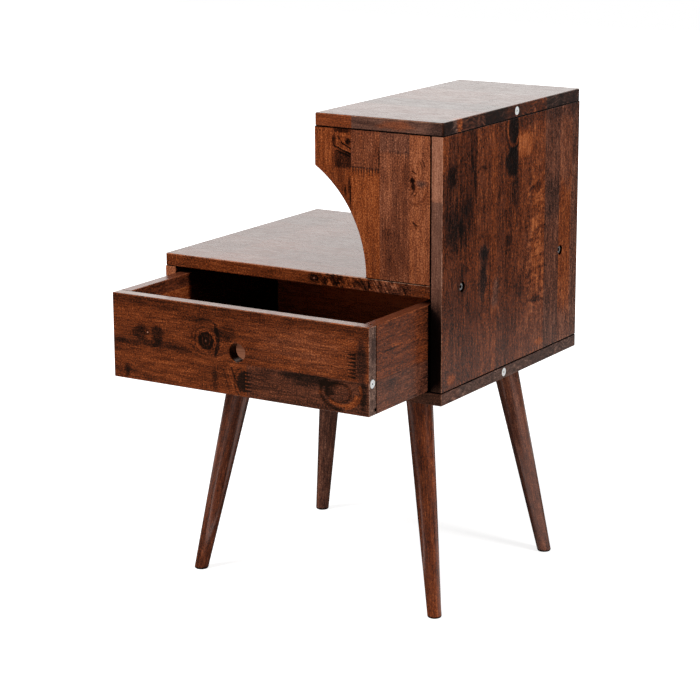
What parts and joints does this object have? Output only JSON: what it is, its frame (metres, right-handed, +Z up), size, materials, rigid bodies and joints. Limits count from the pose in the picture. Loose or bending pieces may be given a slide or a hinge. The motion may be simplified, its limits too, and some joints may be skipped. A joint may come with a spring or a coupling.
{
  "type": "bedside cabinet",
  "caption": "Bedside cabinet of stained solid board: a drawer bay on splayed tapered legs, with a raised side tower on scooped uprights and a drawer pulled by a finger hole.",
  "frame": {"origin": "floor level, midway across the width, and midway between the drawer's face as it stands open at rest and the carcass's rear edges", "axes": "+Z up, +X to the right as seen from the drawer's side, -Y towards the person who opens the drawer"},
  "size_m": [0.455, 0.554, 0.7],
  "materials": {
    "stained_board": "dark red-brown stain under satin lacquer",
    "stained_leg": "dark red-brown stain under satin lacquer",
    "stained_plywood": "dark stain, matt",
    "dowel_wood": "bare beech",
    "zinc_steel": "zinc plated",
    "white_plastic": "moulded, matt"
  },
  "bodies": {
    "carcass": {"top_panel": "stained_board", "side_panel_right": "stained_board", "side_panel_left": "stained_board", "shelf_panel": "stained_board", "bottom_panel": "stained_board", "upright_front": "stained_board", "upright_rear": "stained_board", "rear_panel": "stained_plywood", "rear_panel_screws": "zinc_steel", "leg_front_left": "stained_leg", "leg_front_right": "stained_leg", "leg_rear_left": "stained_leg", "leg_rear_right": "stained_leg", "leg_hanger_bolts": "zinc_steel", "leg_threaded_inserts": "zinc_steel", "shelf_bolts": "zinc_steel", "shelf_barrel_nuts": "zinc_steel", "bottom_bolts": "zinc_steel", "bottom_barrel_nuts": "zinc_steel", "top_dowels": "dowel_wood", "upright_foot_dowels": "dowel_wood", "shelf_left_dowels": "dowel_wood", "shelf_right_dowels": "dowel_wood", "bottom_dowels": "dowel_wood", "top_edge_plug": "white_plastic", "bottom_edge_plug": "white_plastic"},
    "drawer": {"drawer_front": "stained_board", "drawer_side_left": "stained_board", "drawer_side_right": "stained_board", "drawer_back": "stained_board", "drawer_tray": "stained_plywood", "drawer_front_dowels": "dowel_wood", "drawer_back_dowels": "dowel_wood", "drawer_tray_screws": "zinc_steel", "drawer_edge_plug": "white_plastic"}
  },
  "joints": [
    {"name": "drawer_slide", "type": "slide", "parent": "carcass", "child": "drawer", "axis": [0, -1, 0], "range_m": [-0.152, 0.133]}
  ]
}
